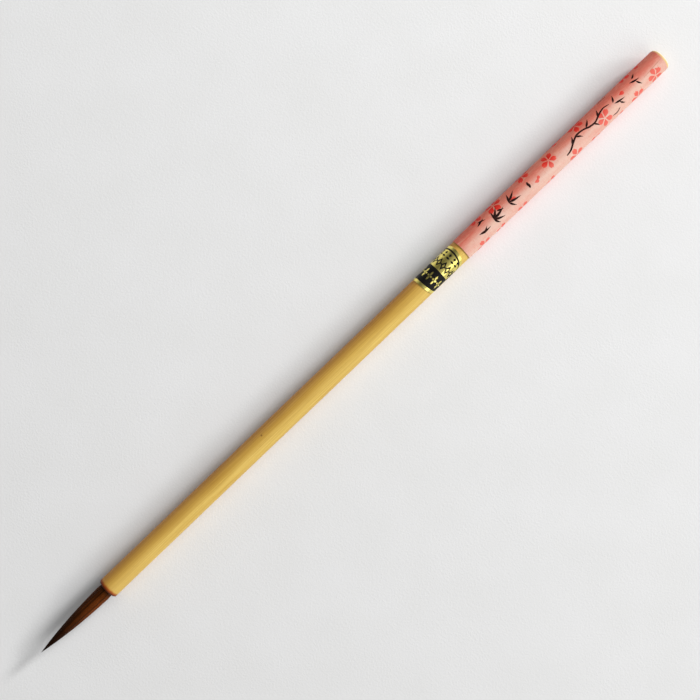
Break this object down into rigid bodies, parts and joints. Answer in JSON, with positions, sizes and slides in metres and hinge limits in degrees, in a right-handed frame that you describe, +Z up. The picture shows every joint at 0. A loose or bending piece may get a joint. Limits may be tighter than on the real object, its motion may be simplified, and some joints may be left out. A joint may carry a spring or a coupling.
{
  "type": "calligraphy brush",
  "caption": "Slim small-character writing brush: straight bamboo handle with a patterned paper wrap, a foil label and a dark pointed hair tuft that bends.",
  "frame": {"origin": "under the middle of the brush's whole length, on the plane that the paper wrap would lie on", "axes": "+X along the brush from the hair's point to the handle's top end, +Z up from the table, +Y across"},
  "size_m": [0.23, 0.0064, 0.0064],
  "materials": {
    "bamboo": "satin",
    "washi": "matte",
    "foil": "polished",
    "glue": "gloss",
    "fused_hair": "gloss",
    "thread": "matte",
    "coat_hair": "satin",
    "core_hair": "satin",
    "point_hair": "satin"
  },
  "bodies": {
    "handle": {"bamboo_handle": "bamboo", "washi_wrap": "washi", "foil_label": "foil", "head_glue": "glue", "fused_base": "fused_hair", "binding_thread": "thread", "root_coat": "coat_hair", "root_core": "core_hair"},
    "waist": {"waist_coat": "coat_hair", "waist_core": "core_hair"},
    "belly": {"belly_coat": "coat_hair", "belly_core": "core_hair"},
    "throat": {"throat_coat": "coat_hair", "throat_core": "core_hair"},
    "point": {"point_hairs": "point_hair"}
  },
  "joints": [
    {"name": "waist_dip", "type": "hinge", "parent": "handle", "child": "waist", "pos_m": [-0.09282, 0, 0.00319], "axis": [0, 1, 0], "range_deg": [-25, 25], "stiffness_Nm_per_rad": 0.002},
    {"name": "belly_sway", "type": "hinge", "parent": "waist", "child": "belly", "pos_m": [-0.09838, 0, 0.00319], "axis": [0, 0, 1], "range_deg": [-30, 30], "stiffness_Nm_per_rad": 0.0016},
    {"name": "throat_dip", "type": "hinge", "parent": "belly", "child": "throat", "pos_m": [-0.10361, 0, 0.00319], "axis": [0, 1, 0], "range_deg": [-35, 35], "stiffness_Nm_per_rad": 0.0012},
    {"name": "point_sway", "type": "hinge", "parent": "throat", "child": "point", "pos_m": [-0.10865, 0, 0.00319], "axis": [0, 0, 1], "range_deg": [-40, 40], "stiffness_Nm_per_rad": 0.001}
  ]
}
